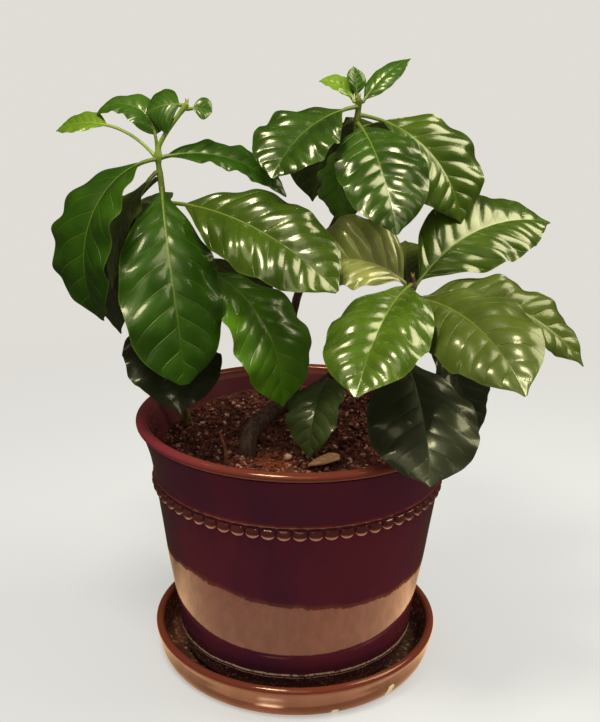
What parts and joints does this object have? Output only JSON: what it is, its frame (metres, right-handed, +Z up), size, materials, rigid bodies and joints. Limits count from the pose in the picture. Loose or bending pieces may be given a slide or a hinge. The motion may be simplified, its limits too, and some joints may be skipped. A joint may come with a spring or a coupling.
{
  "type": "potted coffee plant",
  "caption": "Young coffee plant with wavy glossy leaves on slender stems, in a glazed round pot with a rolled rim and a beaded band, standing on a deep saucer",
  "frame": {"origin": "on the surface that the saucer stands on, under the pot's axis", "axes": "+Z up the pot's axis, the plant's front faces -Y, and +X is to the right seen from the front"},
  "size_m": [0.3204, 0.2377, 0.3798],
  "materials": {
    "burgundy_glaze": "glossy",
    "potting_soil": "rough",
    "grey_bark": "rough",
    "green_stem": "satin",
    "dry_wood": "matte",
    "leaf_green": "glossy",
    "young_leaf_green": "glossy"
  },
  "bodies": {
    "root": {"saucer": "burgundy_glaze", "pot": "burgundy_glaze", "soil": "potting_soil", "trunk": "grey_bark", "stem_left": "green_stem", "dry_twig": "dry_wood", "bark_chip": "dry_wood", "leaf_left_01": "young_leaf_green", "leaf_left_02": "young_leaf_green", "leaf_left_03": "young_leaf_green", "leaf_left_04": "young_leaf_green", "leaf_left_05": "leaf_green", "leaf_left_06": "leaf_green", "leaf_left_07": "leaf_green", "leaf_left_08": "leaf_green", "leaf_left_09": "leaf_green", "leaf_left_10": "leaf_green", "leaf_left_11": "leaf_green", "leaf_left_12": "leaf_green", "leaf_left_13": "leaf_green", "leaf_left_14": "leaf_green", "leaf_center_01": "young_leaf_green", "leaf_center_02": "young_leaf_green", "leaf_center_03": "young_leaf_green", "leaf_center_04": "leaf_green", "leaf_center_05": "leaf_green", "leaf_center_06": "leaf_green", "leaf_center_07": "leaf_green", "leaf_center_08": "leaf_green", "leaf_center_09": "leaf_green", "leaf_right_01": "leaf_green", "leaf_right_02": "leaf_green", "leaf_right_03": "leaf_green", "leaf_right_04": "leaf_green", "leaf_right_05": "leaf_green", "leaf_right_06": "leaf_green", "leaf_right_07": "leaf_green", "leaf_right_08": "leaf_green", "leaf_right_09": "leaf_green", "leaf_right_10": "leaf_green"}
  },
  "joints": []
}
